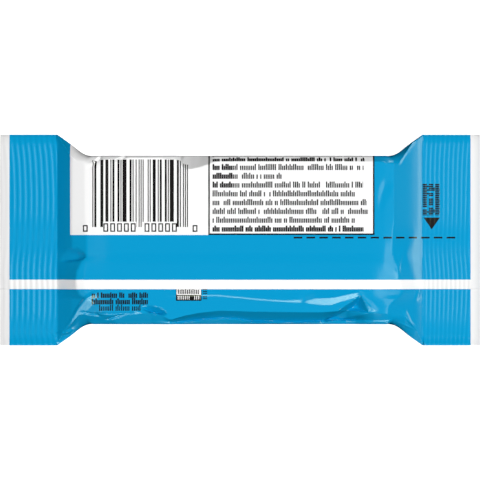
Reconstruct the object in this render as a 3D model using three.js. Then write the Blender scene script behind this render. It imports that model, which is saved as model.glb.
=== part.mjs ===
// A crispy cereal and marshmallow bar sealed in printed film, lying on its front with the seam side up.
// The film is one web formed into a tube round the bar. The tube's long edges meet in a fin seam, which is
// folded flat on the back, and its two ends are pressed flat between ribbed jaws and cut off square.
// Millimetres, X along the pack, Z up. The origin is the middle of the flat front that the pack rests on.
import * as THREE from 'three';
import { mergeVertices } from 'three/addons/utils/BufferGeometryUtils.js';

// The pack
const LENGTH = 158;
const TUBE_WIDTH = 69.4; // the film tube pressed flat, as it is at both end seals
const BODY_WIDTH = 55.4;
const BODY_HEIGHT = 18;

// The end seals
const SEAL_LENGTH = 18.9;
const SEAL_THICKNESS = 0.5;
const RIB_DEPTH = 0.5; // from the top of a rib to the bottom of its groove
const LEFT_RIBS = 10.5; // in the length of the seal
const RIGHT_RIBS = 12.5;
const END_BAND = 3.1; // the unprinted band at the cut, where the jaws press the ribs nearly flat
const END_BAND_RIBS = 0.3; // share of their depth that the ribs keep there

// The shoulders, where the film slopes from the bar down to the seals
const FLARE_LENGTH = 11.5; // along X, over which the side folds spread to the full tube width
const FLARE_ROUNDING = 0.4; // share of that length that is a curve
const SLOPE_LENGTH = 14; // along X, over which the back comes down to the seal
const SLOPE_POWER = 2.5; // 1 is a straight slope, and more keeps it level for longer
const CREASE_LENGTH = 10; // along X, over which the corner crease runs out to the seal's corner
const CREASE_POWER = 1.5; // 1 is a straight crease, and more keeps it by the body for longer
const CREASE_MARGIN = 0.6; // the crease ends this far in from the seal's side edge

// The rounded long edges of the body, measured in from its side
const UPPER_EDGE = 2.6; // at +Y, where the film is tight
const LOWER_EDGE = 4.2; // at -Y, where it is slacker
const EDGE_POWER = 2.7; // 1 is a flat bevel, 2 is round, and more is squarer
const SIDE_DENT = 0.5; // the slack side walls fall in by this much

// The fin seam, folded down towards -Y
const FIN_EDGE = 16.1; // its free edge, from the middle line
const FIN_ROOT = 4; // its fold, from the middle line
const FIN_THICKNESS = 0.35;
const FIN_ROOT_BLEND = 4;

// The largest folds in the slack film below the fin: where they are, how far they reach and how high
const FOLDS = [
  { from: [-57, -28.5], to: [-47, -17], reach: 3.6, height: 0.9 },
  { from: [33, -23.5], to: [39.2, -18.5], reach: 2.6, height: 0.9 },
  { from: [39.2, -18.5], to: [44.5, -23], reach: 2.6, height: 0.9 },
  { from: [46, -23], to: [54, -18], reach: 2.8, height: 0.5 },
  { from: [-58.5, -7.2], to: [-50.5, -5.3], reach: 2.2, height: 0.8 },
];

// The mesh's grid
const LEVEL_STEP = 6; // across the back above the fin
const SLACK_STEP = 1.3; // across the slack film below it
const FRONT_STEP = 16;
const EDGE_STEPS = 6;
const BODY_STEP = 2.4; // along X
const SHOULDER_STEP = 1.4;
const STEP_GAP = 0.05; // between the two points that make the fin's square edge

const HALF_LENGTH = LENGTH / 2;
const HALF_WEB = TUBE_WIDTH / 2;
const SEAL_START = HALF_LENGTH - SEAL_LENGTH;
const MIDDLE_HEIGHT = BODY_HEIGHT / 2;

const clamp01 = (value) => Math.min(Math.max(value, 0), 1);
const smooth = (t) => clamp01(t) ** 2 * (3 - 2 * clamp01(t));

// A ramp from 0 to 1 that leaves 0 in a curve and then runs straight
function easedRamp(t, rounding) {
  const s = clamp01(t);
  const height = s < rounding ? s ** 2 / (2 * rounding) : s - rounding / 2;
  return height / (1 - rounding / 2);
}

// The section across the pack at x, on the +Y or -Y side: where the level part ends in its crease, where the
// side fold is, how far the film stands from the middle height, and how round the edge between them is
function sectionAt(x, side) {
  const fromSeal = SEAL_START - Math.abs(x);
  const flare = easedRamp(1 - fromSeal / FLARE_LENGTH, FLARE_ROUNDING);
  const slope = clamp01(1 - fromSeal / SLOPE_LENGTH);
  const spread = clamp01(1 - fromSeal / CREASE_LENGTH);
  const edge = side > 0 ? UPPER_EDGE : LOWER_EDGE;
  const bodyCrease = BODY_WIDTH / 2 - edge;
  return {
    fold: THREE.MathUtils.lerp(BODY_WIDTH / 2 + SIDE_DENT, HALF_WEB, flare),
    crease: THREE.MathUtils.lerp(bodyCrease, HALF_WEB - CREASE_MARGIN, spread ** CREASE_POWER),
    rise: THREE.MathUtils.lerp(MIDDLE_HEIGHT, SEAL_THICKNESS / 2, slope ** SLOPE_POWER),
    power: THREE.MathUtils.lerp(EDGE_POWER, 1, smooth(spread * 1.5)),
    dent: SIDE_DENT * (1 - smooth(spread * 1.5)),
  };
}

// The ribs that the sealing jaws press in, as a height above the middle of the seal
function ribAt(x) {
  const into = Math.abs(x) - SEAL_START;
  if (into <= 0) return 0;
  const phase = ((into * (x < 0 ? LEFT_RIBS : RIGHT_RIBS)) / SEAL_LENGTH) % 1;
  const wave = 4 * Math.abs(((phase + 0.75) % 1) - 0.5) - 1;
  const depth = into > SEAL_LENGTH - END_BAND ? RIB_DEPTH * END_BAND_RIBS : RIB_DEPTH;
  return (depth / 2) * wave;
}

// How far the folded fin lifts the back at web position w
function finAt(w, onFin) {
  if (!onFin) return 0;
  return FIN_THICKNESS * smooth((-FIN_ROOT - w) / FIN_ROOT_BLEND);
}

// A fold is a ridge along a straight line, sharp on top and fading out at both ends
function foldsAt(x, w) {
  let height = 0;
  for (const fold of FOLDS) {
    const [x0, w0] = fold.from;
    const along = new THREE.Vector2(fold.to[0] - x0, fold.to[1] - w0);
    const point = new THREE.Vector2(x - x0, w - w0);
    const t = point.dot(along) / along.lengthSq();
    const distance = point.distanceTo(along.clone().multiplyScalar(clamp01(t)));
    height += fold.height * Math.max(0, 1 - distance / fold.reach) ** 2;
  }
  return height;
}

// A point of the film: x along the pack, w across the web from its middle line, face +1 on the back and -1
// on the front
function filmPoint(x, w, face, onFin) {
  const section = sectionAt(x, Math.sign(w));
  const reach = Math.abs(w);
  let out = reach;
  let up = section.rise;
  let blend = 1;
  if (reach > section.crease) {
    const angle = (Math.PI / 2) * ((reach - section.crease) / (HALF_WEB - section.crease));
    const sine = Math.sin(angle) ** (2 / section.power);
    const cosine = Math.max(Math.cos(angle), 0) ** (2 / section.power);
    out = section.crease + (section.fold - section.crease) * sine;
    out -= section.dent * (Math.sin(angle) ** 8);
    up = section.rise * cosine;
    blend = cosine;
  }
  if (reach === HALF_WEB) up = 0;
  if (face > 0) up += (finAt(w, onFin) + foldsAt(x, w)) * blend;
  return new THREE.Vector3(x, Math.sign(w) * out, MIDDLE_HEIGHT + ribAt(x) + face * up);
}

// Even steps from one value to another, the first included and the last left out
function steps(from, to, step) {
  const count = Math.max(1, Math.round(Math.abs(to - from) / step));
  return Array.from({ length: count }, (_, i) => from + ((to - from) * i) / count);
}

// The web positions round the tube: over the back from the +Y side fold to the -Y one, and back under the front
function ringOfPoints() {
  const upperCrease = BODY_WIDTH / 2 - UPPER_EDGE;
  const lowerCrease = -(BODY_WIDTH / 2 - LOWER_EDGE);
  const edgeStep = (HALF_WEB - upperCrease) / EDGE_STEPS;
  const back = [
    ...steps(HALF_WEB, upperCrease, edgeStep),
    ...steps(upperCrease, -FIN_ROOT, LEVEL_STEP),
    ...steps(-FIN_ROOT, -FIN_EDGE, LEVEL_STEP / 2),
  ];
  const belowFin = [
    ...steps(-FIN_EDGE - STEP_GAP, lowerCrease, SLACK_STEP),
    ...steps(lowerCrease, -HALF_WEB, edgeStep),
  ];
  const front = [
    ...steps(-HALF_WEB, lowerCrease, edgeStep),
    ...steps(lowerCrease, upperCrease, FRONT_STEP),
    ...steps(upperCrease, HALF_WEB, edgeStep),
  ];
  return [
    ...back.map((w) => ({ w, face: 1, onFin: true })),
    { w: -FIN_EDGE, face: 1, onFin: true },
    ...belowFin.map((w) => ({ w, face: 1, onFin: false })),
    ...front.map((w) => ({ w, face: -1, onFin: false })),
  ];
}

// How far into a seal each top and bottom of its ribs lies
function ribExtremes(ribs) {
  return Array.from({ length: 2 * ribs }, (_, i) => ((i + 0.5) / (2 * ribs)) * SEAL_LENGTH);
}

// The stations along the pack: each top and bottom of a rib, the shoulders, and the body between them
function stationsAlong() {
  const shoulderStart = SEAL_START - SLOPE_LENGTH;
  return [
    -HALF_LENGTH,
    ...ribExtremes(LEFT_RIBS).reverse().map((into) => -SEAL_START - into),
    ...steps(-SEAL_START, -shoulderStart, SHOULDER_STEP),
    ...steps(-shoulderStart, shoulderStart, BODY_STEP),
    ...steps(shoulderStart, SEAL_START, SHOULDER_STEP),
    SEAL_START,
    ...ribExtremes(RIGHT_RIBS).map((into) => SEAL_START + into),
    HALF_LENGTH,
  ];
}

// The film tube starts as a capped cylinder with a column for each web position and a row for each station,
// and each of its points is then moved to its place on the pack
function wrappedBar() {
  const ring = ringOfPoints();
  const stations = stationsAlong();
  const rows = stations.length - 1;
  const geometry = new THREE.CylinderGeometry(1, 1, rows, ring.length, rows);
  const position = geometry.getAttribute('position');
  const point = new THREE.Vector3();
  for (let i = 0; i < position.count; i += 1) {
    point.fromBufferAttribute(position, i);
    const x = stations[Math.round(rows / 2 - point.y)];
    if (Math.hypot(point.x, point.z) < 0.5) {
      point.set(x, 0, MIDDLE_HEIGHT + ribAt(x));
    } else {
      const turn = Math.atan2(point.x, point.z) / (2 * Math.PI);
      const column = (ring.length - Math.round(turn * ring.length)) % ring.length;
      const { w, face, onFin } = ring[column];
      point.copy(filmPoint(x, w, face, onFin));
    }
    position.setXYZ(i, point.x, point.y, point.z);
  }
  geometry.deleteAttribute('normal');
  geometry.deleteAttribute('uv');
  const welded = mergeVertices(geometry, 1e-4);
  welded.computeVertexNormals();
  return welded;
}

const film = new THREE.MeshStandardMaterial({ color: 0x009fd7, roughness: 0.35, metalness: 0 });

const pack = new THREE.Group();
const wrapper = new THREE.Mesh(wrappedBar(), film);
wrapper.name = 'wrapped_bar';
pack.add(wrapper);

export default pack;
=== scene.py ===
import math

import bmesh
import bpy
import numpy as np
from mathutils import Euler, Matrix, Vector


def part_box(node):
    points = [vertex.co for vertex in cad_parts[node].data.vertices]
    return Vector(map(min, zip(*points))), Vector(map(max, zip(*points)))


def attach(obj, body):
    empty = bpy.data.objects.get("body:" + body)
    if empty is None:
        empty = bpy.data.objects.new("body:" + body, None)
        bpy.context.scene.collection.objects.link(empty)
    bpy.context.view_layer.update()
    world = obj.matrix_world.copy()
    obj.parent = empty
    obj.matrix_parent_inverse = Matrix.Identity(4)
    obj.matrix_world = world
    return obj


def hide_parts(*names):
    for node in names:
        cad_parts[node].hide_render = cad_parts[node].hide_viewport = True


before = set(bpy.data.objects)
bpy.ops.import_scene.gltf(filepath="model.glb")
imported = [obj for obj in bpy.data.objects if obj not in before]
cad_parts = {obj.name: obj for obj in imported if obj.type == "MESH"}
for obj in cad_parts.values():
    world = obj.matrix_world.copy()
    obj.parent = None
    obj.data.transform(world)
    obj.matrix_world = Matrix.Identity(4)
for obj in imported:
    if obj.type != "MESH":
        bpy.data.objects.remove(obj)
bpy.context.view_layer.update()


# The web of film
# The wrapper is one web of glossy laminated polypropylene film, printed flat on the reel before it is
# formed. A pack takes 158 mm of it, and its width is the pack's girth. Its UV map is the printer's layout: u
# runs along the pack, and v across the web, from the seam's free edge over the back and round the front.
MM = 0.001
WEB_CELL = 2.0                                   # mm, before the cells are cut finer
SEAM_EDGE = -16.1                                # mm, the Y of the seam's free edge on the back

box_low, box_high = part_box("wrapped_bar")
LENGTH = (box_high.x - box_low.x) / MM
TUBE_WIDTH = (box_high.y - box_low.y) / MM       # the film tube pressed flat
HALF_LENGTH = LENGTH / 2
HALF_TUBE = TUBE_WIDTH / 2
GIRTH = 2 * TUBE_WIDTH

bpy.ops.object.select_all(action="DESELECT")
bpy.ops.mesh.primitive_grid_add(
    x_subdivisions=round(LENGTH / WEB_CELL), y_subdivisions=round(GIRTH / WEB_CELL), size=1
)
film = bpy.context.object
film.name = "film_wrapper"
bpy.ops.object.mode_set(mode="EDIT")
bpy.ops.mesh.select_mode(type="EDGE")
bpy.ops.transform.resize(value=(LENGTH * MM, GIRTH * MM, 1))
bpy.ops.transform.translate(value=(0, (SEAM_EDGE + TUBE_WIDTH) * MM, 0))


ALONG, ACROSS = 0, 1
SAME_PLACE = 1e-4                                # mm


def cut_strip(direction, low, high, cuts):
    """Cuts the web's cells finer in a strip, between two values of |x| or two places across the web."""
    bpy.ops.mesh.select_all(action="DESELECT")
    web = bmesh.from_edit_mesh(film.data)
    for edge in web.edges:
        start, end = (v.co for v in edge.verts)
        middle = (start + end) / (2 * MM)
        runs_this_way = abs((start - end)[1 - direction]) < SAME_PLACE * MM
        place = middle.y if direction == ACROSS else abs(middle.x)
        edge.select_set(runs_this_way and low < place < high)
    bmesh.update_edit_mesh(film.data)
    bpy.ops.mesh.subdivide(number_cuts=cuts)


# Each strip of the web is cut as fine as its shape asks. Each row gives which edges are cut, the strip's
# two limits and the number of cuts.
for strip in (
    (ALONG, 59, 80, 7),                          # the ribs
    (ALONG, 44, 59, 4),                          # the shoulders
    (ALONG, 0, 44, 3),                           # the body
    (ACROSS, 103, 123, 7),                       # the slack film below the seam
    (ACROSS, 98, 103, 2),                        # the front beside it
    (ACROSS, -17, 22.5, 1),                      # the level back
    (ACROSS, -10, -2, 2),                        # the pinch in the left shoulder
    (ACROSS, 22.5, 36, 4),                       # the upper edge
):
    cut_strip(*strip)
bpy.ops.object.mode_set(mode="OBJECT")


# The tube round the bar
# The forming box bends the web into a tube round the bar, level on the back and front and tight over the
# long edges. At each end the tube is drawn flat to half height, so its sides spread to the full width of the
# flat tube, and a crease runs out over each shoulder to the corner of the seal. All sizes are in mm.
BODY_WIDTH = 55.4
BODY_HEIGHT = 18.0
SEAL_LENGTH = 18.9
SEAL_THICKNESS = 0.5
FLARE_LENGTH = 11.5                              # over which the side folds spread
FLARE_ROUNDING = 0.4                             # share of that length that is a curve
CREASE_LENGTH = 10.0                             # over which the shoulder creases run out
CREASE_MARGIN = 0.6                              # the front's creases end this far in from the seal's side
SLOPE_LENGTH = 16.5                              # over which the back comes down to the seal
FRONT_SLOPE_POWER = 2.5                          # 1 is a straight slope, and more keeps it level for longer
SIDE_DENT = 0.5                                  # how far the slack side walls fall in
SIDE_DENT_POWER = 8                              # keeps the dent near the side fold
MIDDLE_HEIGHT = BODY_HEIGHT / 2
SEAL_START = HALF_LENGTH - SEAL_LENGTH
SEAL_RISE = SEAL_THICKNESS / 2

# The long edge at +Y, where the film is tight. At each x: how far out the level back ends, and how far out
# and how deep the rim beside it ends. At both ends the edge runs out to the seal's corner.
UPPER_EDGE = np.array([
    (-60.1, 34.3, 34.4, 0.2), (-59.6, 33.9, 34.2, 0.2), (-56.0, 28.2, 29.0, 0.8), (-54.0, 26.0, 27.4, 1.6),
    (-50.5, 24.8, 27.0, 2.2), (-46.5, 26.1, 27.4, 1.7), (-43.0, 26.4, 27.4, 1.3), (-38.0, 27.0, 27.4, 0.6),
    (-27.5, 27.0, 27.4, 0.6), (-21.0, 26.2, 27.4, 1.3), (-19.4, 25.2, 27.5, 3.0), (-18.4, 23.6, 27.6, 7.1),
    (-16.5, 23.2, 27.6, 7.8), (-13.0, 23.9, 27.6, 7.0), (-10.5, 24.8, 27.5, 4.8), (-8.5, 25.6, 27.3, 2.4),
    (0.0, 25.9, 27.3, 1.9), (30.0, 25.9, 27.3, 1.9), (46.0, 25.7, 27.3, 2.2), (51.8, 24.6, 27.0, 2.2),
    (56.8, 32.0, 32.4, 0.5), (60.1, 34.3, 34.4, 0.2),
])
RIM_FALL = 1.2                                   # the height of the rim's outer face
FRONT_CREASE = 22.0                              # how far out the level front ends

# The long edge at -Y, where the film is slack. At each x: how far out the level back ends, the distance out
# and the depth of a gutter, how far the pleat outside it stands above it, and the depth by the side wall.
LOWER_EDGE = np.array([
    (-60.1, 34.2, 34.4, 0.2, 0.0, 0.3), (-57.6, 29.6, 29.9, 0.4, 0.0, 0.8),
    (-53.0, 24.6, 26.6, 1.6, -0.4, 2.6), (-50.6, 24.2, 26.6, 1.9, -0.4, 2.9),
    (-29.0, 24.0, 26.6, 1.9, -0.4, 2.9), (-25.5, 24.8, 26.7, 1.3, -0.2, 2.2),
    (-23.2, 26.1, 26.8, 1.2, 0.0, 1.9), (-22.0, 26.0, 26.9, 2.2, 0.3, 2.3),
    (-20.9, 25.6, 26.9, 3.2, 0.6, 3.0), (-18.0, 24.8, 26.6, 4.0, 0.7, 4.0),
    (-14.0, 24.0, 26.1, 4.5, 0.9, 4.8),
    (-7.0, 23.2, 25.5, 3.9, 0.6, 4.8), (-1.0, 23.3, 25.7, 3.9, 0.6, 4.8), (4.0, 23.5, 26.6, 5.0, 1.0, 5.0),
    (20.0, 23.7, 26.7, 4.9, 1.0, 4.9), (27.0, 23.7, 26.4, 4.9, 0.9, 4.8), (31.0, 23.4, 26.1, 6.4, 1.0, 6.1),
    (35.0, 23.2, 26.1, 7.8, 1.0, 7.4), (38.0, 23.4, 26.2, 6.4, 0.6, 6.4), (41.0, 23.8, 26.3, 3.6, 0.3, 4.1),
    (44.0, 24.0, 26.4, 2.1, 0.0, 2.9), (48.0, 24.2, 26.4, 1.4, 0.0, 2.2), (50.5, 24.6, 26.5, 1.2, 0.0, 2.0),
    (54.2, 25.2, 26.5, 1.1, 0.0, 1.9), (57.9, 29.4, 30.0, 0.5, 0.0, 0.8), (60.1, 34.2, 34.4, 0.2, 0.0, 0.3),
])
PLEAT_WIDTH = 0.5
PLEAT_FALL = 1.3                                 # the height of the pleat's outer face
PLEAT_INSET = 0.03                               # keeps that face from standing quite upright
LOWER_CREASE_ROW = 23.8                          # the mesh's row that is laid along the level back's end
CREASE_ROW_LIMITS = (19.5, 30.0)                 # how far in and out it may bend

# How the back comes down at each end: at each y, the length and height of its first facet and of its
# second, and its height at MIDDLE_FACET from the seal
LEFT_FACETS = np.array([
    (-34.7, 9.6, 8.2, 9.8, 8.3, 8.7), (-19.3, 9.4, 8.1, 9.8, 8.3, 8.7), (-18.0, 8.0, 8.4, 9.6, 8.6, 8.8),
    (-16.0, 6.6, 8.3, 9.0, 8.8, 8.9), (-13.0, 6.2, 8.3, 9.0, 8.85, 8.9), (-10.0, 6.7, 8.4, 9.2, 8.8, 8.9),
    (-7.6, 7.9, 8.45, 9.6, 8.7, 8.85), (-6.0, 9.0, 8.4, 9.8, 8.5, 8.75), (-5.2, 7.6, 7.0, 9.7, 8.4, 8.7),
    (-2.6, 5.1, 5.9, 9.7, 8.35, 8.7), (2.0, 4.8, 5.7, 9.7, 8.3, 8.7), (7.0, 4.8, 5.9, 9.3, 8.0, 8.55),
    (34.7, 4.9, 6.1, 9.0, 8.0, 8.55),
])
RIGHT_FACETS = np.array([
    (-34.7, 2.4, 2.0, 11.0, 7.8, 8.15), (-23.0, 2.4, 2.1, 11.6, 7.9, 8.15),
    (-21.4, 2.4, 2.1, 11.2, 7.8, 8.1), (-19.4, 2.4, 2.2, 9.1, 7.0, 7.9),
    (-18.0, 2.4, 2.3, 7.4, 6.0, 7.6), (-16.0, 2.6, 2.5, 6.6, 5.3, 7.45),
    (-13.0, 3.2, 3.06, 7.6, 6.15, 7.75), (-10.0, 4.1, 3.85, 8.3, 6.8, 7.85),
    (-7.0, 5.0, 4.64, 9.2, 7.1, 8.1), (-4.5, 5.6, 5.17, 10.1, 7.45, 8.2),
    (1.0, 3.6, 3.41, 10.0, 7.75, 8.15), (6.0, 3.4, 3.24, 9.6, 7.75, 8.15),
    (34.7, 3.4, 3.24, 9.6, 7.75, 8.15),
])
MIDDLE_FACET = 13.0
HALF_WAY_SHARE = 0.54                            # of the first facet's height, reached half way along it
LEVEL_FROM_SEAL = 40.0                           # where the back has its full height at both ends
RIGHT_CREASE = 9.6                               # from the seal, of the right shoulder's sharp crease
RIGHT_END_RISE = 8.4                             # at SLOPE_LENGTH from the right seal

# How far the corners between the facets are rounded over, to each side. At the foot of the right slope that
# is a share of the way left to the first corner, and above FOOT_BLEND it is wider.
CREASE_SOFTNESS = 0.3
SHARP_CREASE_SOFTNESS = 0.05                     # of the right shoulder's crease, above SHARP_ABOVE in y
SHARP_ABOVE = 4.0
RIGHT_FOOT_SHARE = 0.8
RIGHT_FOOT_LIMITS = (0.3, 2.2)
RIGHT_FOOT_SOFTNESS = 2.4
BODY_SOFTNESS = 1.8
FOOT_BLEND = (-2.0, 6.0)                         # in y
CREASE_BLEND = (5.0, 7.5)                        # from the seal, where the foot's rounding ends
BODY_BLEND = (11.0, 15.0)                        # from the seal, where the creases' rounding ends

# At the lower left corner one more facet cuts the back off, down towards the corner of the seal
CORNER_POINT = np.array([-50.5, -19.3, 8.2])     # on the facet, with its height over the middle
CORNER_SLOPE = (0.36, 0.318)                     # how fast it rises along x and along y
CORNER_END = -30.0                               # the x where it ends
CORNER_SOFTNESS = 0.25
EDGE_SOFTNESS = 0.15                             # of the corners in the long edges' sections


def mix(a, b, t):
    return a + (b - a) * t


def clamp01(value):
    return np.clip(value, 0.0, 1.0)


def smooth(value):
    t = clamp01(value)
    return t * t * (3 - 2 * t)


def blend(value, start, end):
    """A smooth change from 0 at the start to 1 at the end."""
    return smooth((value - start) / (end - start))


def eased_ramp(value, rounding):
    """A ramp from 0 to 1 that leaves 0 in a curve and then runs straight."""
    t = clamp01(value)
    curved = t ** 2 / (2 * rounding)
    return np.where(t < rounding, curved, t - rounding / 2) / (1 - rounding / 2)


def columns(table, place):
    """The columns of a table, read at places between its rows."""
    return [np.interp(place, table[:, 0], table[:, i]) for i in range(1, table.shape[1])]


def chain(place, corners):
    """The height at a place on straight stretches between corners, each a pair of place and height."""
    height = corners[0][1] + np.zeros(len(place))
    for (start, low), (end, high) in zip(corners[:-1], corners[1:]):
        height = np.where(place > start, mix(low, high, clamp01((place - start) / (end - start))), height)
    return height


def rounded_chain(place, corners, radius):
    near = [chain(place + shift * radius, corners) for shift in (-1.0, -0.5, 0.0, 0.5, 1.0)]
    return (near[0] + 2 * near[1] + 2 * near[2] + 2 * near[3] + near[4]) / 8


def back_rise(x, y):
    """How far the back stands over the middle height, before its edges round over."""
    d = SEAL_START - np.abs(x)
    facets = [np.where(x < 0, a, b) for a, b in zip(columns(LEFT_FACETS, y), columns(RIGHT_FACETS, y))]
    zero = np.zeros(len(x))
    corners = [
        (zero - 1, zero + SEAL_RISE), (zero, zero + SEAL_RISE),
        (facets[0] / 2, mix(SEAL_RISE, facets[1], HALF_WAY_SHARE)),
        (facets[0], facets[1]), (facets[2], facets[3]), (zero + MIDDLE_FACET, facets[4]),
        (zero + SLOPE_LENGTH, np.where(x < 0, MIDDLE_HEIGHT, RIGHT_END_RISE)),
        (zero + LEVEL_FROM_SEAL, zero + MIDDLE_HEIGHT), (zero + HALF_LENGTH, zero + MIDDLE_HEIGHT),
    ]
    right_foot = np.clip(RIGHT_FOOT_SHARE * (facets[0] - d), *RIGHT_FOOT_LIMITS)
    right_foot = mix(right_foot, RIGHT_FOOT_SOFTNESS, blend(y, *FOOT_BLEND))
    at_foot = np.where(x < 0, CREASE_SOFTNESS, right_foot)
    at_crease = np.where((x > 0) & (y > SHARP_ABOVE), SHARP_CREASE_SOFTNESS, CREASE_SOFTNESS)
    softness = mix(at_foot, at_crease, blend(d, *CREASE_BLEND))
    softness = mix(softness, BODY_SOFTNESS, blend(d, *BODY_BLEND))
    rise = rounded_chain(d, corners, np.minimum(softness, np.maximum(d, EDGE_SOFTNESS)))
    corner_x, corner_y, corner_rise = CORNER_POINT
    corner = corner_rise + CORNER_SLOPE[0] * (x - corner_x) + CORNER_SLOPE[1] * (y - corner_y)
    above = np.where(x < CORNER_END, rise - np.maximum(corner, SEAL_RISE), -1.0)
    rounded = (np.maximum(above + CORNER_SOFTNESS, 0) / 2) ** 2 / CORNER_SOFTNESS
    return rise - np.where(above > CORNER_SOFTNESS, above, rounded)


def front_rise(x):
    slope = clamp01(1 - (SEAL_START - np.abs(x)) / SLOPE_LENGTH)
    return mix(MIDDLE_HEIGHT, SEAL_RISE, slope ** FRONT_SLOPE_POWER)


def edge_section(corners, share):
    """A long edge in section: how far out and how high the film is, at a share of the way round it."""
    runs = [np.hypot(b[0] - a[0], b[1] - a[1]) for a, b in zip(corners[:-1], corners[1:])]
    starts = np.cumsum([0 * share] + runs, axis=0)
    place = share * starts[-1]
    softness = np.minimum(EDGE_SOFTNESS, place)
    out = rounded_chain(place, [(s, c[0]) for s, c in zip(starts, corners)], softness)
    up = rounded_chain(place, [(s, c[1]) for s, c in zip(starts, corners)], softness)
    return out, np.where(share >= 1, 0.0, up)


def upper_edge(x, share):
    crease, rim, depth = columns(UPPER_EDGE, x)
    return edge_section([
        (crease, MIDDLE_HEIGHT + 0 * x), (rim, MIDDLE_HEIGHT - depth),
        (BODY_WIDTH / 2 + 0 * x, MIDDLE_HEIGHT - depth - RIM_FALL),
        (BODY_WIDTH / 2 - SIDE_DENT + 0 * x, 0 * x),
    ], share)


def lower_edge(x, share):
    crease, gutter, depth, pleat, outer_depth = columns(LOWER_EDGE, x)
    side = BODY_WIDTH / 2
    return edge_section([
        (crease, MIDDLE_HEIGHT + 0 * x), (gutter, MIDDLE_HEIGHT - depth),
        (gutter + PLEAT_WIDTH, MIDDLE_HEIGHT - depth + pleat),
        (side - PLEAT_INSET + 0 * x, MIDDLE_HEIGHT - outer_depth),
        (side + 0 * x, MIDDLE_HEIGHT - outer_depth - PLEAT_FALL), (side - SIDE_DENT + 0 * x, 0 * x),
    ], share)


# How round an edge is at the body and at the seal: 1 is a flat bevel, 2 is round, and more is squarer
BACK_POWERS = (1.7, 1.0)
FRONT_POWERS = (2.7, 1.4)
EDGE_TURN_RATE = 1.5                             # above 1 it changes within less than CREASE_LENGTH
FRONT_CREASE_POWER = 1.5                         # above 1 the front's creases stay by the body for longer
BODY_EDGE_START = 9.2                            # from the seal, where the long edges' sections begin
BODY_EDGE_BLEND = 3.0


def formed(x, w):
    """Where the points of the web lie round the bar, for places x along it and w across it."""
    front = (w > HALF_TUBE) & (w < HALF_TUBE + TUBE_WIDTH)
    side_w = np.where(front, TUBE_WIDTH - w, np.where(w > HALF_TUBE, w - GIRTH, w))
    side = np.where(side_w < 0, -1.0, 1.0)
    reach = np.abs(side_w)
    d = SEAL_START - np.abs(x)
    spread = clamp01(1 - d / CREASE_LENGTH)
    turned = smooth(spread * EDGE_TURN_RATE)

    upper = columns(UPPER_EDGE, x)[0]
    lower = columns(LOWER_EDGE, x)[0]
    under = mix(FRONT_CREASE, HALF_TUBE - CREASE_MARGIN, spread ** FRONT_CREASE_POWER)
    crease = np.where(front, under, np.where(side > 0, upper, lower))
    side_fold = mix(BODY_WIDTH / 2 + SIDE_DENT, HALF_TUBE, eased_ramp(1 - d / FLARE_LENGTH, FLARE_ROUNDING))
    rise = np.where(front, front_rise(x), back_rise(x, side_w))
    power = np.where(front, mix(*FRONT_POWERS, turned), mix(*BACK_POWERS, turned))
    share = clamp01((reach - crease) / (HALF_TUBE - crease))
    sine = np.sin(np.pi / 2 * share) ** (2 / power)
    cosine = np.maximum(np.cos(np.pi / 2 * share), 0) ** (2 / power)
    dent = SIDE_DENT * (1 - turned) * np.sin(np.pi / 2 * share) ** SIDE_DENT_POWER
    out = np.where(reach > crease, mix(crease, side_fold, sine) - dent, reach)
    up = np.where(reach > crease, rise * cosine, rise)

    edges = [np.where(side > 0, a, b) for a, b in zip(upper_edge(x, share), lower_edge(x, share))]
    on_body = smooth((d - BODY_EDGE_START) / BODY_EDGE_BLEND) * ~front * (reach > crease)
    out = mix(out, edges[0], on_body)
    up = mix(up, edges[1] * rise / MIDDLE_HEIGHT, on_body)
    return np.stack([x, side * out, MIDDLE_HEIGHT + np.where(front, -up, up)], axis=1)


def read_points(mesh):
    flat = np.empty(len(mesh.vertices) * 3)
    mesh.vertices.foreach_get("co", flat)
    return flat.reshape(-1, 3) / MM


def write_points(mesh, points):
    mesh.vertices.foreach_set("co", (points * MM).ravel())
    mesh.update()


ROW_WIDTH = 1e-3                                 # within which points are of one row or column


def snap(places, line):
    """Moves the nearest row or column of the mesh on to a line that has to stay sharp."""
    nearest = places[np.argmin(np.abs(places - line))]
    places[np.abs(places - nearest) < ROW_WIDTH] = line


# The side folds lie on rows of the mesh, and each seal's start and the right shoulder's crease on columns
web_places = read_points(film.data)
along, across = web_places[:, 0].copy(), web_places[:, 1].copy()
for side_fold_place in (HALF_TUBE, HALF_TUBE + TUBE_WIDTH):
    snap(across, side_fold_place)
for crease_place in (-SEAL_START, SEAL_START, SEAL_START - RIGHT_CREASE):
    snap(along, crease_place)

# The rows of the mesh below the seam bend to follow the end of the level back, so that it stays sharp
reach = GIRTH - across
row_at_crease = reach[np.argmin(np.abs(reach - LOWER_CREASE_ROW))]
crease = np.clip(columns(LOWER_EDGE, along)[0], *CREASE_ROW_LIMITS)
inner = -SEAM_EDGE + (reach + SEAM_EDGE) * (crease + SEAM_EDGE) / (row_at_crease + SEAM_EDGE)
outer = HALF_TUBE - (HALF_TUBE - reach) * (HALF_TUBE - crease) / (HALF_TUBE - row_at_crease)
below_seam = (across > HALF_TUBE + TUBE_WIDTH) & (across < GIRTH + SEAM_EDGE)
across = np.where(below_seam, GIRTH - np.where(reach < row_at_crease, inner, outer), across)
points = formed(along, across)


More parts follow.
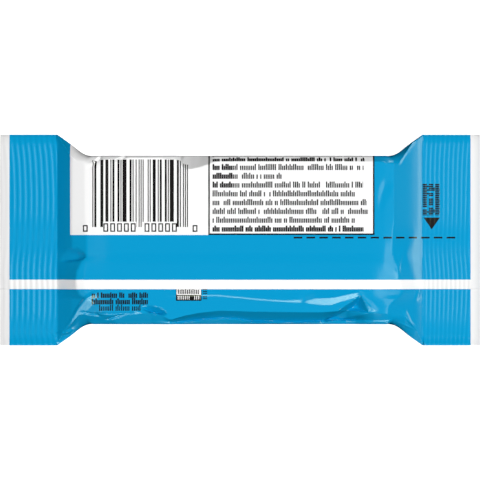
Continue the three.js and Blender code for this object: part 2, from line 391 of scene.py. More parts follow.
# The end seals
# Ribbed jaws weld the flattened tube shut and knives cut it square. The ribs wander, because the film slips
# a little in the jaws. They are faint in the middle and near one edge, and fade in the unprinted band at the
# cut. The thin double film droops at one side edge, lifts at the other and curls at the cut.
LEFT_RIBS = 10.5                                 # in the length of a seal
RIGHT_RIBS = 12.5
LEFT_RIB_SLOPE = math.radians(21)                # of a rib's flank
RIGHT_RIB_SLOPE = math.radians(17)
END_BAND = 3.1                                   # the unprinted band at the cut
END_BAND_SHARE = (0.3, 0.0)                      # of their depth that the left and right ribs keep there
BAND_BLEND = 0.6
RIB_BLEND = 0.5                                  # over which the ribs begin
DROOP_START = 31.0                               # from the middle line
DROOP, DROOP_POWER = 0.12, 1.6
CURL_LENGTH = 3.3
LEFT_CURL, LEFT_CURL_POWER = -1.1, 1.3
RIGHT_CURL, RIGHT_CURL_POWER = 0.9, 2.5

# How far the ribs have slipped towards +X at each y: at the left seal's cut and start, then the right's.
# Each value is the mean of three, SLIP_SPREAD apart.
SLIP_SPREAD = 1.5
RIB_SLIP = np.array([
    (-34.5, 0.8, 0.9, -2.2, -0.5), (-32.4, 0.2, 0.4, -1.9, -0.35), (-30.0, -0.1, -0.1, -1.75, -0.35),
    (-26.5, 0.2, 0.25, -1.4, -0.3), (-22.0, 0.3, 0.45, -1.05, -0.25), (-16.0, 0.3, 0.5, -0.8, -0.15),
    (-11.5, 0.1, 0.4, -0.85, -0.2), (-8.0, 0.15, 0.55, -1.1, -0.5), (-3.0, 0.8, 0.85, -1.6, -0.8),
    (2.0, 1.05, 1.1, -1.5, -0.55), (9.0, 1.2, 1.4, -1.25, -0.25), (14.0, 1.25, 1.5, -1.1, -0.3),
    (21.0, 1.1, 1.25, -0.85, -0.5), (27.0, 0.8, 0.95, -0.6, -0.35), (34.7, 0.0, 0.0, 0.0, 0.0),
])

# The share of their full depth that the ribs have at each y
RIB_DEPTH = np.array([
    (-34.7, 0.9), (-32.9, 0.85), (-31.6, 0.6), (-30.3, 0.35), (-27.0, 0.65), (-23.7, 1.05), (-20.4, 1.15),
    (-17.1, 1.15), (-12.2, 1.03), (-8.9, 1.03), (-5.6, 0.88), (-2.3, 0.6), (1.0, 0.4), (4.3, 0.6),
    (7.6, 0.84), (10.9, 1.0), (29.6, 1.0), (31.3, 0.9), (32.9, 0.7), (34.7, 0.4),
])

into = np.abs(along) - SEAL_START
left = along < 0
y = points[:, 1]
slip_shifts = (-SLIP_SPREAD, 0, SLIP_SPREAD)
slips = [sum(columns(RIB_SLIP, y + shift)[i] for shift in slip_shifts) / 3 for i in range(4)]
share_in = clamp01(into / SEAL_LENGTH)
slip = np.where(left, mix(slips[1], slips[0], share_in), -mix(slips[3], slips[2], share_in))
pitch = SEAL_LENGTH / np.where(left, LEFT_RIBS, RIGHT_RIBS)
wave = -np.sin(2 * np.pi * (into + slip) / pitch)
near_cut = smooth((into - SEAL_LENGTH + END_BAND + BAND_BLEND / 2) / BAND_BLEND)
slope = np.where(left, LEFT_RIB_SLOPE, RIGHT_RIB_SLOPE)
depth = pitch * np.tan(slope) / math.pi * columns(RIB_DEPTH, y)[0]
depth *= mix(1.0, np.where(left, *END_BAND_SHARE), near_cut)
in_seal = smooth(into / RIB_BLEND)
points[:, 2] += in_seal * depth / 2 * wave
points[:, 2] -= in_seal * np.sign(y) * DROOP * np.maximum(np.abs(y) - DROOP_START, 0) ** DROOP_POWER
curl = clamp01((into - SEAL_LENGTH + CURL_LENGTH) / CURL_LENGTH)
curl = np.where(left, LEFT_CURL * curl ** LEFT_CURL_POWER, RIGHT_CURL * curl ** RIGHT_CURL_POWER)
points[:, 2] += curl * in_seal


# The fin seam
# The web's two long edges are sealed inside to inside and folded down flat, so the back runs on smoothly
# over the seam to its free edge. The seam lifts it by three thicknesses of film and a little air.
SEAM_ROOT = -4.0                                 # the y of its fold
SEAM_BLEND = 4.0
SEAM_LIFT = 0.35

on_flap = across < HALF_TUBE
points[:, 2] += np.where(on_flap, SEAM_LIFT * smooth((SEAM_ROOT - across) / SEAM_BLEND), 0.0)
write_points(film.data, points)

layout_places = np.stack([along / LENGTH + 0.5, (across - SEAM_EDGE) / GIRTH], axis=1)
corner_vertices = np.empty(len(film.data.loops), dtype=int)
film.data.loops.foreach_get("vertex_index", corner_vertices)
film.data.uv_layers.active.data.foreach_set("uv", layout_places[corner_vertices].ravel())


# The folds in the slack film
# The film is longer than the bar is round, so it stands up in soft ridges under the seam and in sharp
# creases at the shoulders. Each row of a fold is x and y, how high the film stands or, if negative, how deep
# it lies, and how far the fold reaches to the left and to the right of its line, all in mm.
FOLDS = {
    "upper left corner crease": [
        (-59.8, 34.2, 0.0, 0.4, 0.4), (-58.5, 32.2, 0.15, 0.45, 0.45), (-56.2, 28.5, 0.15, 0.45, 0.45),
        (-54.5, 26.4, 0.08, 0.4, 0.4), (-52.5, 25.2, 0.0, 0.4, 0.4)],
    "upper right corner crease": [
        (51.6, 24.2, 0.0, 0.5, 0.5), (52.4, 25.6, 0.2, 0.5, 0.5), (56.8, 32.0, 0.18, 0.45, 0.45),
        (58.4, 33.8, 0.0, 0.4, 0.4)],
    "pinch in the left shoulder": [
        (-59.4, -7.1, 0.0, 0.6, 0.4), (-57.8, -6.7, -0.55, 2.0, 0.8), (-55.6, -6.2, -0.95, 3.4, 1.1),
        (-53.5, -5.8, -1.15, 3.8, 1.3), (-51.8, -5.5, -0.85, 2.4, 1.0), (-50.4, -5.2, 0.0, 0.8, 0.4)],
    "ridge up from the lower left corner": [
        (-57.8, -29.9, 0.0, 0.5, 0.8), (-55.5, -26.8, 0.4, 0.7, 1.8), (-53.0, -22.5, 0.55, 0.8, 2.4),
        (-50.6, -19.3, 0.65, 0.9, 2.8), (-48.5, -17.8, 0.45, 0.9, 2.6), (-45.5, -16.4, 0.15, 0.8, 2.2)],
    "first wrinkle at its foot": [
        (-52.5, -23.5, 0.0, 0.4, 0.4), (-50.0, -24.0, -0.5, 0.45, 0.6), (-47.0, -24.6, -0.5, 0.45, 0.6),
        (-45.0, -25.2, 0.0, 0.4, 0.4)],
    "second wrinkle at its foot": [
        (-44.6, -26.3, 0.0, 0.4, 0.4), (-43.0, -26.0, -0.45, 0.8, 0.5), (-40.0, -25.1, -0.45, 0.7, 0.5),
        (-36.8, -24.2, 0.0, 0.4, 0.4)],
    "thin crease above the lower edge": [
        (-51.0, -24.3, 0.0, 0.35, 0.35), (-47.0, -24.1, -0.3, 0.35, 0.35), (-35.0, -24.0, -0.3, 0.4, 0.35),
        (-32.0, -24.0, 0.0, 0.4, 0.35)],
    "corner stroke": [
        (-60.2, -30.6, 0.2, 0.5, 0.7), (-58.0, -30.4, 0.45, 0.7, 0.9), (-56.2, -30.0, 0.4, 0.8, 0.9),
        (-55.0, -29.5, 0.0, 0.4, 0.4)],
    "wedge left of the long gutter": [
        (-32.0, -22.2, 0.0, 0.8, 0.4), (-31.0, -22.8, -1.1, 1.5, 0.4), (-29.4, -23.5, -2.0, 2.1, 0.45),
        (-27.8, -24.0, -2.2, 2.1, 0.5), (-26.2, -24.1, -1.9, 1.8, 0.5), (-24.8, -24.2, -1.0, 1.0, 0.5),
        (-24.0, -24.2, 0.0, 0.4, 0.35)],
    "long soft step below the seam": [
        (-24.5, -18.2, 0.0, 2.0, 0.6), (-20.0, -18.0, 0.16, 2.0, 0.7), (-8.0, -17.8, 0.17, 2.0, 0.75),
        (0.0, -18.5, 0.17, 2.2, 0.75), (7.2, -19.2, 0.17, 2.5, 0.75), (15.0, -19.7, 0.2, 2.5, 0.8),
        (19.5, -19.5, 0.28, 2.5, 1.1), (21.2, -19.3, 0.0, 1.5, 0.8)],
    "wide step to its right": [
        (20.9, -20.3, 0.0, 1.0, 0.5), (22.5, -19.7, 0.35, 2.0, 1.3), (25.0, -19.0, 0.6, 2.5, 2.3),
        (29.5, -18.9, 0.65, 2.5, 2.6), (33.0, -18.3, 0.55, 2.2, 2.0), (36.5, -17.5, 0.5, 1.5, 1.8),
        (39.0, -17.1, 0.3, 1.2, 1.3), (41.5, -18.2, 0.0, 1.2, 1.2)],
    "right fold of the pocket": [
        (39.6, -18.2, 0.2, 0.8, 0.9), (42.3, -21.4, 0.45, 1.6, 1.0), (43.2, -22.3, 0.45, 1.6, 1.0),
        (45.3, -23.4, 0.0, 1.2, 0.8)],
    "first crescent at the lower right corner": [
        (54.3, -22.2, 0.0, 0.5, 0.5), (54.5, -24.4, 0.3, 0.8, 0.7), (55.8, -26.8, 0.25, 0.6, 0.6),
        (58.0, -29.3, 0.0, 0.4, 0.4)],
    "second crescent at the lower right corner": [
        (51.8, -26.8, 0.0, 0.4, 0.4), (54.0, -27.9, 0.25, 0.5, 0.5), (57.9, -29.6, 0.0, 0.4, 0.4)],
    "short streak by the right seal": [
        (59.0, -16.0, 0.2, 0.9, 0.6), (58.3, -18.6, 0.2, 0.9, 0.6), (57.3, -20.6, 0.0, 0.6, 0.5)],
    "slim facet on the right shoulder": [
        (53.6, -1.8, 0.0, 0.5, 0.5), (53.2, -4.5, 0.08, 0.5, 1.0), (52.4, -7.5, 0.14, 0.5, 1.1),
        (51.9, -10.5, 0.16, 0.5, 1.1), (52.2, -14.0, 0.0, 0.5, 0.5)],
    "crescent beside the box": [
        (47.3, 20.0, 0.0, 1.0, 0.8), (47.6, 18.2, -0.28, 2.6, 1.6), (47.0, 16.0, -0.26, 2.6, 1.6),
        (46.2, 13.0, -0.15, 2.0, 1.3), (45.6, 8.5, 0.0, 1.0, 0.8)],
    "first wrinkle at the upper edge": [
        (-50.2, 23.4, 0.0, 0.3, 0.8), (-48.6, 24.9, -0.8, 0.25, 1.4), (-46.8, 26.7, -1.2, 0.25, 1.6),
        (-45.2, 27.8, 0.0, 0.3, 0.8)],
    "second wrinkle at the upper edge": [
        (-42.4, 24.2, 0.0, 0.3, 0.8), (-41.0, 25.4, -1.0, 0.25, 1.4), (-39.0, 27.2, -2.0, 0.25, 1.8),
        (-37.0, 27.8, 0.0, 0.3, 1.0)],
    "glint over the bars": [
        (-23.4, 22.8, 0.0, 0.5, 0.5), (-21.5, 21.2, 0.12, 0.6, 0.6), (-19.0, 21.0, 0.12, 0.6, 0.6),
        (-16.2, 22.8, 0.0, 0.5, 0.5)],
}
FACES_UP = 0.25                                  # the z of a normal, from which a fold is at its full height


def fold(points, normals, line):
    """Raises or sinks the film along a line, with straight flanks."""
    line = np.array(line, float)
    place = points[:, :2]
    nearest = np.full(len(place), np.inf)
    lift = np.zeros(len(place))
    for start, end in zip(line[:-1], line[1:]):
        step = end[:2] - start[:2]
        t = clamp01((place - start[:2]) @ step / (step @ step))
        gap = place - start[:2] - t[:, None] * step
        distance = np.linalg.norm(gap, axis=1)
        on_left = step[0] * gap[:, 1] - step[1] * gap[:, 0] > 0
        height, left_reach, right_reach = (mix(start[i], end[i], t) for i in (2, 3, 4))
        closer = distance < nearest
        nearest = np.where(closer, distance, nearest)
        share = np.maximum(1 - distance / np.where(on_left, left_reach, right_reach), 0)
        lift = np.where(closer, height * share, lift)
    facing_up = smooth(normals[:, 2] / FACES_UP)
    return points + normals * (lift * facing_up)[:, None]


def read_normals(mesh):
    flat = np.empty(len(mesh.vertices) * 3)
    mesh.vertices.foreach_get("normal", flat)
    return flat.reshape(-1, 3)


level_normals = read_normals(film.data)
for line in FOLDS.values():
    points = fold(points, level_normals, line)

# The pocket, where the film is pushed in between two edges that meet in a point. It is as deep as the
# shallowest of four planes: its left wall, its floor, its right wall and the way out over the lower edge.
POCKET_TOP = np.array([39.6, -18.2])
POCKET_LEFT = np.array([31.0, -24.1])
POCKET_RIGHT = np.array([42.2, -23.6])
POCKET_DEPTH = 4.0                               # at the foot of its left wall
LEFT_WALL_WIDTH = 1.7
FLOOR_SLOPE = 0.42                               # up, away from the left wall
RIGHT_WALL_SLOPE = 1.5
MOUTH_LEFT = np.array([30.0, -26.6])
MOUTH_RIGHT = np.array([42.4, -24.0])
MOUTH_SLOPE = 1.5


def left_of_line(points, start, end):
    """How far points lie to the left of the line from start to end, seen from above."""
    step = (end - start) / np.linalg.norm(end - start)
    gap = points[:, :2] - start
    return step[0] * gap[:, 1] - step[1] * gap[:, 0]


from_left = left_of_line(points, POCKET_TOP, POCKET_LEFT)
from_right = left_of_line(points, POCKET_RIGHT, POCKET_TOP)
from_mouth = left_of_line(points, MOUTH_LEFT, MOUTH_RIGHT)
pocket_floor = POCKET_DEPTH - FLOOR_SLOPE * (from_left - LEFT_WALL_WIDTH)
sunk = np.minimum(from_left * POCKET_DEPTH / LEFT_WALL_WIDTH, pocket_floor)
sunk = np.minimum(sunk, from_right * RIGHT_WALL_SLOPE)
sunk = np.minimum(sunk, from_mouth * MOUTH_SLOPE)
points[:, 2] -= np.maximum(sunk, 0) * (level_normals[:, 2] > 0)
write_points(film.data, points)


# The closed pack
# The seam's free edge hangs a film's thickness over the lower film, with a narrow gap under it, and the cut
# ends are pressed shut, so the film closes on itself all round.
FILM_LIP = 0.12                                  # each of the lip's two layers, drawn thick to show
LIP_SET_BACK = 0.08                              # of the lip's lower edge
LIP_REACH = 1.2                                  # how far the gap runs in under it
LOWER_FILM_FALL = 0.02                           # of the lower film in the gap
SHORTEST_RUN = 0.05                              # less than any edge along the pack spans in x
SHARP_ANGLE = math.radians(27)                   # a crease that is sharper stays sharp in the shading


def select_edges(test):
    """Selects the open edges that pass a test, of an edge and of whether it is on the seam's free edge."""
    bpy.ops.mesh.select_all(action="DESELECT")
    shell = bmesh.from_edit_mesh(film.data)
    flap_layer = shell.verts.layers.float["flap"]
    for edge in shell.edges:
        if edge.is_boundary and test(edge, edge.verts[0][flap_layer] > 0.5):
            edge.select_set(True)
    bmesh.update_edit_mesh(film.data)


def runs_along(edge):
    start, end = (v.co for v in edge.verts)
    return abs(start.x - end.x) > SHORTEST_RUN * MM


def extrude_edges(x, y, z):
    bpy.ops.mesh.extrude_edges_move(TRANSFORM_OT_translate={"value": (x * MM, y * MM, z * MM)})


bpy.ops.object.select_all(action="DESELECT")
film.select_set(True)
bpy.context.view_layer.objects.active = film
flap_side = film.data.attributes.new("flap", "FLOAT", "POINT")
flap_side.data.foreach_set("value", on_flap.astype(float))
bpy.ops.object.mode_set(mode="EDIT")
select_edges(lambda edge, on_seam: runs_along(edge) and on_seam)
extrude_edges(0, -LIP_SET_BACK, -2 * FILM_LIP)
extrude_edges(0, LIP_REACH, 0)
select_edges(lambda edge, on_seam: runs_along(edge) and not on_seam)
extrude_edges(0, LIP_REACH, -LOWER_FILM_FALL)
select_edges(lambda edge, on_seam: runs_along(edge))
bpy.ops.mesh.bridge_edge_loops()
select_edges(lambda edge, on_seam: edge.verts[0].co.x < 0)
bpy.ops.mesh.fill()
select_edges(lambda edge, on_seam: True)
bpy.ops.mesh.fill()
bpy.ops.mesh.select_all(action="SELECT")
bpy.ops.mesh.normals_make_consistent(inside=False)
bpy.ops.object.mode_set(mode="OBJECT")
bpy.ops.object.shade_smooth_by_angle(angle=SHARP_ANGLE)

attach(film, "root")
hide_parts("wrapped_bar")


# The printed film
# The film is a clear layer of polypropylene over a white one, with the ink printed between them in even,
# flat colours. Its outer face is smooth, so ink and bare white have the same gloss, and the eye sees crisp
# edges and bright glints along the folds. The white of the end seals is painted a little greyer, as painted
# shade.
def linear(colour):
    """An sRGB hex value as linear red, green and blue."""
    parts = [int(colour[i:i + 2], 16) / 255 for i in (1, 3, 5)]
    return [p / 12.92 if p <= 0.04045 else ((p + 0.055) / 1.055) ** 2.4 for p in parts] + [1.0]


material = bpy.data.materials.new("laminated_polypropylene_film")
material.use_nodes = True
tree = material.node_tree
shader = tree.nodes["Principled BSDF"]


def add_node(kind, settings=None, **links):
    """Adds a node, with its settings, and with values or links for its inputs by name or by _ and place."""
    node = tree.nodes.new(kind)
    for name, value in (settings or {}).items():
        setattr(node, name, value)
    for name, value in links.items():
        socket = node.inputs[int(name[1:])] if name[0] == "_" else node.inputs[name]
        if isinstance(value, bpy.types.NodeSocket):
            tree.links.new(value, socket)
        else:
            socket.default_value = value
    return node


def maths(operation, a, b=0.0, c=0.0):
    return add_node("ShaderNodeMath", {"operation": operation}, _0=a, _1=b, _2=c).outputs[0]


# The layout in mm: u from the middle of the pack, and w across the web, which is y on the back
uv = add_node("ShaderNodeUVMap").outputs[0]
layout = add_node("ShaderNodeMapping", None, Vector=uv, Scale=(LENGTH, GIRTH, 1),
                  Location=(-HALF_LENGTH, SEAM_EDGE, 0)).outputs[0]
split = add_node("ShaderNodeSeparateXYZ", None, Vector=layout)
u, w = split.outputs[0], split.outputs[1]


def between(value, low, high):
    """1 where low < value < high, and 0 elsewhere."""
    centre, half = (low + high) / 2, (high - low) / 2
    return maths("LESS_THAN", maths("ABSOLUTE", maths("SUBTRACT", value, centre)), half)


def rectangle(u_low, u_high, w_low, w_high):
    return maths("MULTIPLY", between(u, u_low, u_high), between(w, w_low, w_high))


def either(*fields):
    total = fields[0]
    for field in fields[1:]:
        total = maths("MAXIMUM", total, field)
    return total


def both(*fields):
    total = fields[0]
    for field in fields[1:]:
        total = maths("MULTIPLY", total, field)
    return total


def without(field, hole):
    return maths("MULTIPLY", field, maths("SUBTRACT", 1.0, hole))


# The white parts are a band at each cut, a stripe beside the seam's free edge and a panel, which runs on
# over the side wall. A black rule boxes the panel's right part.
STRIPE_WIDTH = 3.06
PANEL_LEFT, PANEL_RIGHT, PANEL_LOW, PANEL_HIGH = -55.8, 44.1, 1.65, 44.0
BOX_LEFT = -10.4
RULE = 0.5
end_bands = maths("GREATER_THAN", maths("ABSOLUTE", u), HALF_LENGTH - END_BAND)
stripe = maths("LESS_THAN", w, SEAM_EDGE + STRIPE_WIDTH)
white = either(end_bands, stripe, rectangle(PANEL_LEFT, PANEL_RIGHT, PANEL_LOW, PANEL_HIGH))
box_outline = without(
    rectangle(BOX_LEFT, PANEL_RIGHT, PANEL_LOW, PANEL_HIGH),
    rectangle(BOX_LEFT + RULE, PANEL_RIGHT - RULE, PANEL_LOW + RULE, PANEL_HIGH - RULE),
)

# The bars follow a rule of two sine waves, which gives bars and gaps of 1 to 4 modules. Guard bars at the
# ends and in the middle reach down between the open boxes, which stand where a number would be.
MODULE = 0.33
BARS_LEFT = -48.42
BARS_RIGHT = BARS_LEFT + 95 * MODULE
BARS_LOW, LONG_BARS_LOW, BARS_HIGH = 6.0, 4.25, 26.4
LONG_BARS = ((BARS_LEFT, -44.9), (-34.0, -31.9), (-20.7, BARS_RIGHT))
GUARD_MODULES = ((-1, 2.5), (44.5, 49.5), (91.5, 95))
FIRST_WAVE = 2.54                                # the angle that each module adds
SECOND_WAVE, SECOND_WAVE_START = 1.07, 5.2
module_number = maths("FLOOR", maths("DIVIDE", maths("SUBTRACT", u, BARS_LEFT), MODULE))
first_wave = maths("SINE", maths("MULTIPLY", module_number, FIRST_WAVE))
second_wave = maths("SINE", maths("MULTIPLY_ADD", module_number, SECOND_WAVE, SECOND_WAVE_START))
guard_places = either(*(between(module_number, *modules) for modules in GUARD_MODULES))
guard_bars = both(guard_places, maths("LESS_THAN", maths("MODULO", module_number, 2.0), 0.5))
code_bars = without(maths("GREATER_THAN", maths("ADD", first_wave, second_wave), 0.0), guard_places)
bars = both(either(guard_bars, code_bars), either(
    rectangle(BARS_LEFT, BARS_RIGHT, BARS_LOW, BARS_HIGH),
    *(rectangle(left_end, right_end, LONG_BARS_LOW, BARS_HIGH) for left_end, right_end in LONG_BARS),
))

NUMBER_PITCH = 2.25
NUMBER_WIDTH = 1.6
NUMBER_LINE = 0.4
NUMBERS_LOW = 2.7
NUMBERS_START = -44.8
NUMBER_GROUPS = ((-51.7, -49.8, 4.9), (-44.9, -34.1, 5.5), (-31.4, -20.6, 5.5), (-15.7, -13.8, 4.9))
number_turn = maths("FRACT", maths("DIVIDE", maths("SUBTRACT", u, NUMBERS_START), NUMBER_PITCH))
number_place = maths("MULTIPLY", number_turn, NUMBER_PITCH)


def number_boxes(u_low, u_high, high):
    outer = both(maths("LESS_THAN", number_place, NUMBER_WIDTH), rectangle(u_low, u_high, NUMBERS_LOW, high))
    inner = both(between(number_place, NUMBER_LINE, NUMBER_WIDTH - NUMBER_LINE),
                 between(w, NUMBERS_LOW + NUMBER_LINE, high - NUMBER_LINE))
    return without(outer, inner)


numbers = either(*(number_boxes(*group) for group in NUMBER_GROUPS))

# Rows of upright strokes stand for the small print. A row's number and a stroke's number give each stroke a
# draw of its own, which sets its height, or leaves it out as the gap between words.
X_HEIGHT = 1.45
ASCENDER = 0.55
STROKE_PITCH = 0.6
TALL_DRAW = 0.72                                 # above this a stroke has an ascender
GAP_DRAW = 0.12                                  # below this it is left out


def stroke_rows(along_row, across_rows, row_pitch, weight):
    """A field of strokes, in rows that run along one direction of the print."""
    row_place = maths("DIVIDE", across_rows, row_pitch)
    in_row = maths("MULTIPLY", maths("FRACT", row_place), row_pitch)
    stroke_place = maths("DIVIDE", along_row, STROKE_PITCH)
    key = add_node("ShaderNodeCombineXYZ", None, X=maths("FLOOR", stroke_place), Y=maths("FLOOR", row_place))
    draw = add_node("ShaderNodeTexWhiteNoise", {"noise_dimensions": "2D"}, Vector=key.outputs[0]).outputs[0]
    height = maths("MULTIPLY_ADD", maths("GREATER_THAN", draw, TALL_DRAW), ASCENDER, X_HEIGHT)
    return both(
        maths("LESS_THAN", maths("FRACT", stroke_place), weight),
        maths("LESS_THAN", in_row, height),
        maths("GREATER_THAN", draw, GAP_DRAW),
    )


# The box's rows are ragged at the right, and one is short. They are numbered from 0 at the bottom. Row 0 and
# the rows at the top are heavier, and so is the start of the rows below those.
FIRST_BASELINE = 2.74
ROW_PITCH = 2.884
LIGHT_WEIGHT, HEAVY_EXTRA = 0.7, 0.2
HEAVY_FROM_ROW = 8
HEAVY_START_ROW, HEAVY_START_END = 5, -2.5
ROWS_LEFT, ROWS_RIGHT, ROWS_HIGH = -9.0, 43.0, 42.0
LEAST_ROW_END, ROW_END_SPREAD = 37.6, 5.0
SHORT_ROW, SHORT_BY = 6.0, 28.0
row_number = maths("FLOOR", maths("DIVIDE", maths("SUBTRACT", w, FIRST_BASELINE), ROW_PITCH))
heavy = either(
    maths("GREATER_THAN", row_number, HEAVY_FROM_ROW - 0.5),
    maths("LESS_THAN", row_number, 0.5),
    both(maths("GREATER_THAN", row_number, HEAVY_START_ROW - 0.5), maths("LESS_THAN", u, HEAVY_START_END)),
)
row_weight = maths("MULTIPLY_ADD", heavy, HEAVY_EXTRA, LIGHT_WEIGHT)
row_draw = add_node("ShaderNodeTexWhiteNoise", {"noise_dimensions": "1D"}, W=row_number).outputs[0]
short_row = maths("COMPARE", row_number, SHORT_ROW, 0.1)
ragged_end = maths("MULTIPLY_ADD", row_draw, ROW_END_SPREAD, LEAST_ROW_END)
row_end = maths("SUBTRACT", ragged_end, maths("MULTIPLY", short_row, SHORT_BY))
small_print = both(
    stroke_rows(u, maths("SUBTRACT", w, FIRST_BASELINE), ROW_PITCH, row_weight),
    maths("LESS_THAN", u, row_end),
    rectangle(ROWS_LEFT, ROWS_RIGHT, FIRST_BASELINE, ROWS_HIGH),
)

# Three columns of the same strokes stand by the arrow, and three rows under the seam
COLUMNS_LEFT = 60.1
side_print = both(
    stroke_rows(w, maths("SUBTRACT", u, COLUMNS_LEFT), row_pitch=2.05, weight=0.78),
    rectangle(COLUMNS_LEFT, 65.8, 8.1, 18.5),
)
LOW_ROWS_START = 115.6
LOWEST_ROW_TOP = 117.5
low_weight = maths("MULTIPLY_ADD", maths("GREATER_THAN", w, LOWEST_ROW_TOP), 0.2, 0.6)
low_print = both(
    stroke_rows(u, maths("SUBTRACT", w, LOW_ROWS_START), row_pitch=2.1, weight=low_weight),
    either(rectangle(-48.6, -30.2, LOWEST_ROW_TOP, 121.6), rectangle(-46.7, -32.0, 115.5, LOWEST_ROW_TOP)),
)

# The patch beside those rows is black with white strokes below, and a white window with black strokes above.
# One upright row of strokes stands at its right.
PATCH_LEFT, PATCH_RIGHT, PATCH_LOW, PATCH_MIDDLE, PATCH_HIGH = -21.0, -12.6, 118.9, 120.8, 122.8
PATCH_BORDER = 0.2
PATCH_ROW_PITCH = 1.85
CODE_LEFT, CODE_RIGHT, CODE_LOW, CODE_HIGH = -12.2, -10.7, 118.9, 122.7
patch = rectangle(PATCH_LEFT, PATCH_RIGHT, PATCH_LOW, PATCH_HIGH)
patch_window = rectangle(PATCH_LEFT + PATCH_BORDER, PATCH_RIGHT - PATCH_BORDER, PATCH_MIDDLE, PATCH_HIGH)
patch_rows = maths("SUBTRACT", w, PATCH_LOW + 0.3)
window_strokes = both(
    stroke_rows(u, patch_rows, PATCH_ROW_PITCH, weight=0.6),
    rectangle(PATCH_LEFT + 0.6, PATCH_RIGHT - 0.6, PATCH_MIDDLE + 0.3, PATCH_HIGH),
)
white_strokes = both(
    stroke_rows(u, patch_rows, PATCH_ROW_PITCH, weight=0.4),
    rectangle(PATCH_LEFT + 0.5, PATCH_RIGHT - 0.5, PATCH_LOW + 0.4, PATCH_MIDDLE - 0.3),
)
code = both(
    stroke_rows(w, maths("SUBTRACT", u, CODE_LEFT), row_pitch=1.6, weight=0.5),
    rectangle(CODE_LEFT, CODE_RIGHT, CODE_LOW, CODE_HIGH),
)
patch_ink = without(patch, patch_window)
knocked_out = either(without(patch_window, window_strokes), white_strokes)

# A dashed line runs to the right under the box, and an arrow points down at it near its end
DASHES_LEFT, DASHES_RIGHT, DASHES_LOW, DASHES_HIGH = 17.6, 70.9, 0.5, 1.05
DASH_PITCH = 4.2
DASH_SHARE = 0.67                                # of the pitch
ARROW_PLACE, ARROW_HALF_WIDTH, ARROW_TIP, ARROW_BASE = 63.1, 2.7, 3.45, 7.4
dash_place = maths("DIVIDE", maths("SUBTRACT", u, DASHES_LEFT), DASH_PITCH)
dashes = both(
    maths("LESS_THAN", maths("FRACT", dash_place), DASH_SHARE),
    rectangle(DASHES_LEFT, DASHES_RIGHT, DASHES_LOW, DASHES_HIGH),
)
arrow_reach = maths("MULTIPLY", maths("SUBTRACT", w, ARROW_TIP), ARROW_HALF_WIDTH / (ARROW_BASE - ARROW_TIP))
arrow = both(
    maths("LESS_THAN", maths("ABSOLUTE", maths("SUBTRACT", u, ARROW_PLACE)), arrow_reach),
    between(w, ARROW_TIP, ARROW_BASE),
)
ink = either(
    box_outline, bars, numbers, small_print, side_print, low_print,
    patch_ink, window_strokes, code, dashes, arrow,
)

blue_ink = linear("#0095C9")
white_film = linear("#F4F4F4")
# painted shade: the white in the end seals is painted greyer than the film's own white
painted_shade_seal_white = linear("#EAEAEA")
black_ink = linear("#1A1719")


def over(below, above, where):
    """A colour laid over another where a field is 1. Either may be a value or a link."""
    return add_node("ShaderNodeMix", {"data_type": "RGBA"}, _0=where, _6=below, _7=above).outputs[2]


in_end_seal = maths("GREATER_THAN", maths("ABSOLUTE", u), SEAL_START)
ground = over(blue_ink, over(white_film, painted_shade_seal_white, in_end_seal), white)
printed = over(over(ground, black_ink, ink), white_film, knocked_out)
tree.links.new(printed, shader.inputs["Base Color"])
shader.inputs["Roughness"].default_value = 0.2
shader.inputs["IOR"].default_value = 1.5
film.data.materials.append(material)


# The floor and the light
# The pack lies on a pale table lit from below, as packs are photographed on. One wide soft box overhead
# lights it and is kept out of its gloss. Eight narrower cards show only in the gloss, where the shoulders,
# the ribs and the folds turn towards them. Brightness is in the picture's own units, in which white is 1.
FLOOR_SIZE = 6                                   # metres
FLOOR_GAP = 0.0002                               # metres, under the pack
FLOOR_GLOW = 0.85
bpy.ops.mesh.primitive_plane_add(size=FLOOR_SIZE, location=(0, 0, -FLOOR_GAP))
floor = bpy.context.object
floor.name = "floor"
paper = bpy.data.materials.new("pale_floor")
paper.use_nodes = True
paper_shader = paper.node_tree.nodes["Principled BSDF"]
paper_shader.inputs["Base Color"].default_value = linear("#DCDCDC")
paper_shader.inputs["Roughness"].default_value = 0.9
paper_shader.inputs["Specular IOR Level"].default_value = 0.0
paper_shader.inputs["Emission Color"].default_value = linear("#FFFFFF")
paper_shader.inputs["Emission Strength"].default_value = FLOOR_GLOW
floor.visible_glossy = False
floor.visible_diffuse = False
floor.data.materials.append(paper)

WHITE_LIGHT = (1, 1, 1)
GLINT_LIGHT = (0.88, 1.0, 0.7)                   # less blue than white, as the photo's glints are


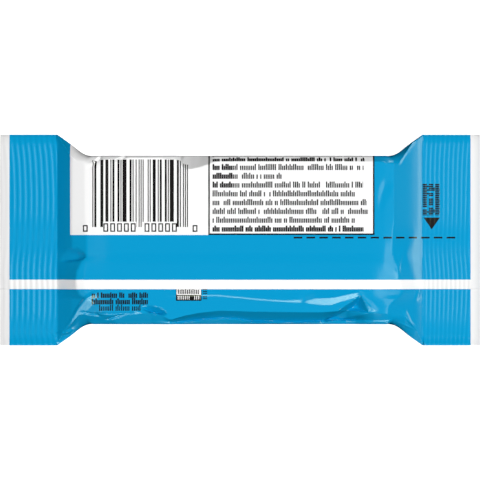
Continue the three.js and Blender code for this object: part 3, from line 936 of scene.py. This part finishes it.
def soft_box(name, tilt, heading, distance, width, height, brightness, only_glints=True):
    """A soft box that faces the pack, tilt degrees off the vertical towards a compass heading (0 is +X)."""
    turn = (0, math.radians(tilt), math.radians(heading))
    aim = Euler(turn).to_matrix() @ Vector((0, 0, distance))
    bpy.ops.object.light_add(type="AREA", location=aim, rotation=turn)
    lamp = bpy.context.object
    lamp.name = name
    lamp.data.shape = "RECTANGLE"
    lamp.data.size = width
    lamp.data.size_y = height
    lamp.data.energy = brightness * math.pi * width * height
    lamp.data.color = GLINT_LIGHT if only_glints else WHITE_LIGHT
    lamp.visible_diffuse = not only_glints
    lamp.visible_glossy = only_glints
    lamp.data.cycles.use_multiple_importance_sampling = only_glints


# Each one's tilt and heading in degrees, distance, width and height in metres, and brightness
soft_box("overhead", 10, 0, 1.6, 1.0, 1.0, 8.87, only_glints=False)
soft_box("low_right", 90, 0, 1.0, 0.3, 0.8, 5.0)
soft_box("low_front", 81, -78, 1.0, 0.2, 0.2, 8.0)
soft_box("low_back", 81, 78, 1.0, 0.2, 0.2, 6.0)
soft_box("right_card", 31, 0, 1.2, 0.36, 1.0, 2.1)
soft_box("corner_card", 32, -45, 1.2, 0.3, 0.5, 3.0)
soft_box("front_card", 30, -90, 1.2, 0.25, 0.9, 9.0)
soft_box("left_corner_card", 51, -120, 1.2, 0.3, 0.45, 5.0)
soft_box("left_card", 13, 180, 1.2, 0.16, 1.0, 0.5)

ROOM_BRIGHTNESS = 0.2
world = bpy.data.worlds.new("studio")
bpy.context.scene.world = world
world.use_nodes = True
world.node_tree.nodes["Background"].inputs[0].default_value = (1, 1, 1, 1)
world.node_tree.nodes["Background"].inputs[1].default_value = ROOM_BRIGHTNESS
world.cycles_visibility.glossy = False
bpy.context.scene.view_settings.view_transform = "Standard"


# The camera
# It looks straight down from far off, as the photo does, and the pack fills its frame from side to side.
SENSOR = 36.0
LENS = 500.0
FRAME_WIDTH = 158.0                              # mm at the pack's middle height
FURTHEST_VIEW = 20                               # metres
distance = LENS / SENSOR * FRAME_WIDTH
bpy.ops.object.camera_add(location=(0, 0, (MIDDLE_HEIGHT + distance) * MM), rotation=(0, 0, 0))
camera = bpy.context.object
camera.data.lens = LENS
camera.data.sensor_width = SENSOR
camera.data.clip_end = FURTHEST_VIEW
bpy.context.scene.camera = camera
